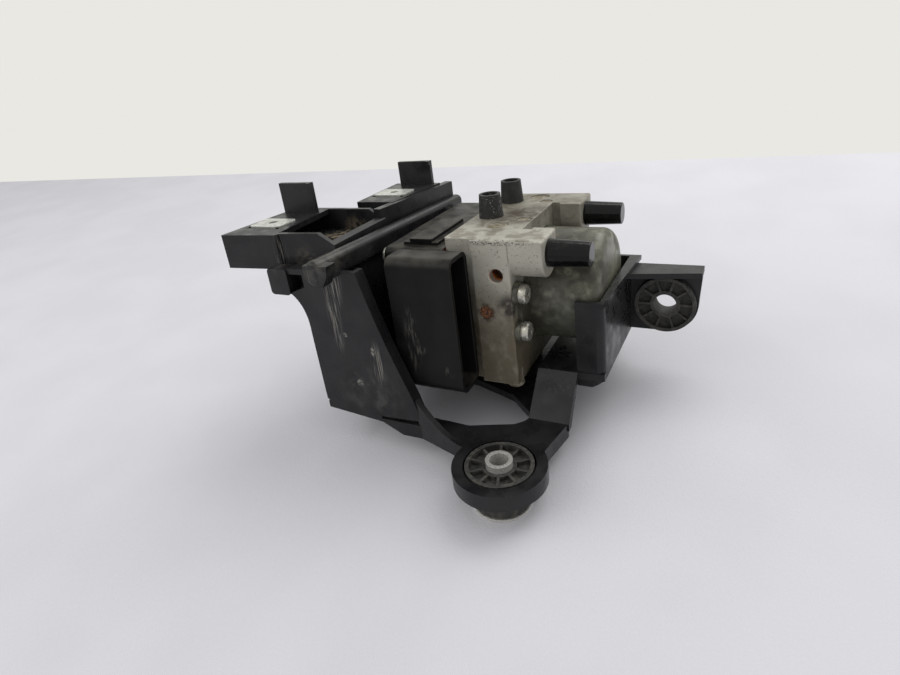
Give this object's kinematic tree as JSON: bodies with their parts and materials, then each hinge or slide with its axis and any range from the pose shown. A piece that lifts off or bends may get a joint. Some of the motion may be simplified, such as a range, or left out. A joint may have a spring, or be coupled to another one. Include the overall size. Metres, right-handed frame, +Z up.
{
  "type": "abs brake module",
  "caption": "Anti-lock brake hydraulic module with pump motor and control unit, carried in a moulded rubber-isolated bracket.",
  "frame": {"origin": "axis of the front rubber isolator's steel sleeve, at the underside of its washer", "axes": "+Z up along the front isolator's axis, +X towards the pump motor and the side isolator, +Y from the front isolator towards the back of the bracket"},
  "size_m": [0.2365, 0.1684, 0.1395],
  "materials": {
    "cast_block": "fine cast skin, dull",
    "bare_aluminium": "turned, satin",
    "motor_steel": "drawn steel, dull zinc film",
    "screw_steel": "zinc plated",
    "inner_steel": "machined",
    "spring_steel": "drawn wire",
    "clip_steel": "zinc plated sheet",
    "sleeve_steel": "bright plated",
    "copper": "enamelled copper",
    "carbon": "pressed carbon",
    "ferrite": "ground ferrite",
    "pin_brass": "tinned brass",
    "board": "solder-mask green",
    "seal_rubber": "moulded",
    "isolator_rubber": "moulded, dusty",
    "black_housing": "moulded, scuffed",
    "black_carrier": "moulded, fine grain",
    "black_cap": "smooth",
    "matte_cap": "soft, dull"
  },
  "bodies": {
    "module": {"hydraulic_block": "cast_block", "staked_top_plugs": "bare_aluminium", "pump_bore_plugs": "bare_aluminium", "drain_plug": "inner_steel", "front_port_cap": "black_cap", "rear_port_cap": "black_cap", "front_top_cap": "matte_cap", "rear_top_cap": "matte_cap", "motor_flange": "motor_steel", "motor_can": "motor_steel", "motor_screws": "screw_steel", "motor_magnets": "ferrite", "front_bearing": "inner_steel", "rear_shaft_bush": "pin_brass", "brush_plate": "black_housing", "carbon_brushes": "carbon", "motor_contact_rod": "black_housing", "front_pump_spring": "spring_steel", "rear_pump_spring": "spring_steel", "front_accumulator_cap": "bare_aluminium", "rear_accumulator_cap": "bare_aluminium", "front_accumulator_spring": "spring_steel", "rear_accumulator_spring": "spring_steel", "solenoid_valves": "inner_steel", "solenoid_coils": "black_housing", "pressure_sensor": "inner_steel", "control_unit_housing": "black_housing", "control_unit_seal": "seal_rubber", "control_unit_cover": "black_housing", "circuit_board": "board", "control_unit_screws": "screw_steel", "connector_pins": "pin_brass", "front_isolator_sleeve": "sleeve_steel", "front_isolator_washer": "sleeve_steel", "front_isolator_rubber": "isolator_rubber", "side_isolator_rubber": "isolator_rubber", "block_studs": "screw_steel", "block_isolator_pads": "isolator_rubber", "carrier": "black_carrier", "front_clip_nut": "clip_steel", "rear_clip_nut": "clip_steel"},
    "rotor": {"rotor_shaft": "inner_steel", "eccentric_ring": "inner_steel", "armature_core": "inner_steel", "armature_windings": "copper", "commutator": "copper"},
    "front_piston": {"front_pump_piston": "inner_steel"},
    "rear_piston": {"rear_pump_piston": "inner_steel"},
    "front_reservoir": {"front_accumulator_piston": "bare_aluminium"},
    "rear_reservoir": {"rear_accumulator_piston": "bare_aluminium"}
  },
  "joints": [
    {"name": "rotor_spin", "type": "hinge", "parent": "module", "child": "rotor", "pos_m": [0, 0.0915, 0.0764], "axis": [1, 0, 0], "continuous": true},
    {"name": "front_pump_stroke", "type": "slide", "parent": "module", "child": "front_piston", "axis": [0, -1, 0], "range_m": [0, 0.003], "stiffness_N_per_m": 1500, "springref_m": -0.002, "deforming": ["front_pump_spring"]},
    {"name": "rear_pump_stroke", "type": "slide", "parent": "module", "child": "rear_piston", "axis": [0, 1, 0], "range_m": [0, 0.003], "stiffness_N_per_m": 1500, "springref_m": -0.002, "deforming": ["rear_pump_spring"]},
    {"name": "front_accumulator_stroke", "type": "slide", "parent": "module", "child": "front_reservoir", "axis": [0, 0, -1], "range_m": [0, 0.006], "stiffness_N_per_m": 3000, "springref_m": -0.002, "deforming": ["front_accumulator_spring"]},
    {"name": "rear_accumulator_stroke", "type": "slide", "parent": "module", "child": "rear_reservoir", "axis": [0, 0, -1], "range_m": [0, 0.006], "stiffness_N_per_m": 3000, "springref_m": -0.002, "deforming": ["rear_accumulator_spring"]}
  ]
}
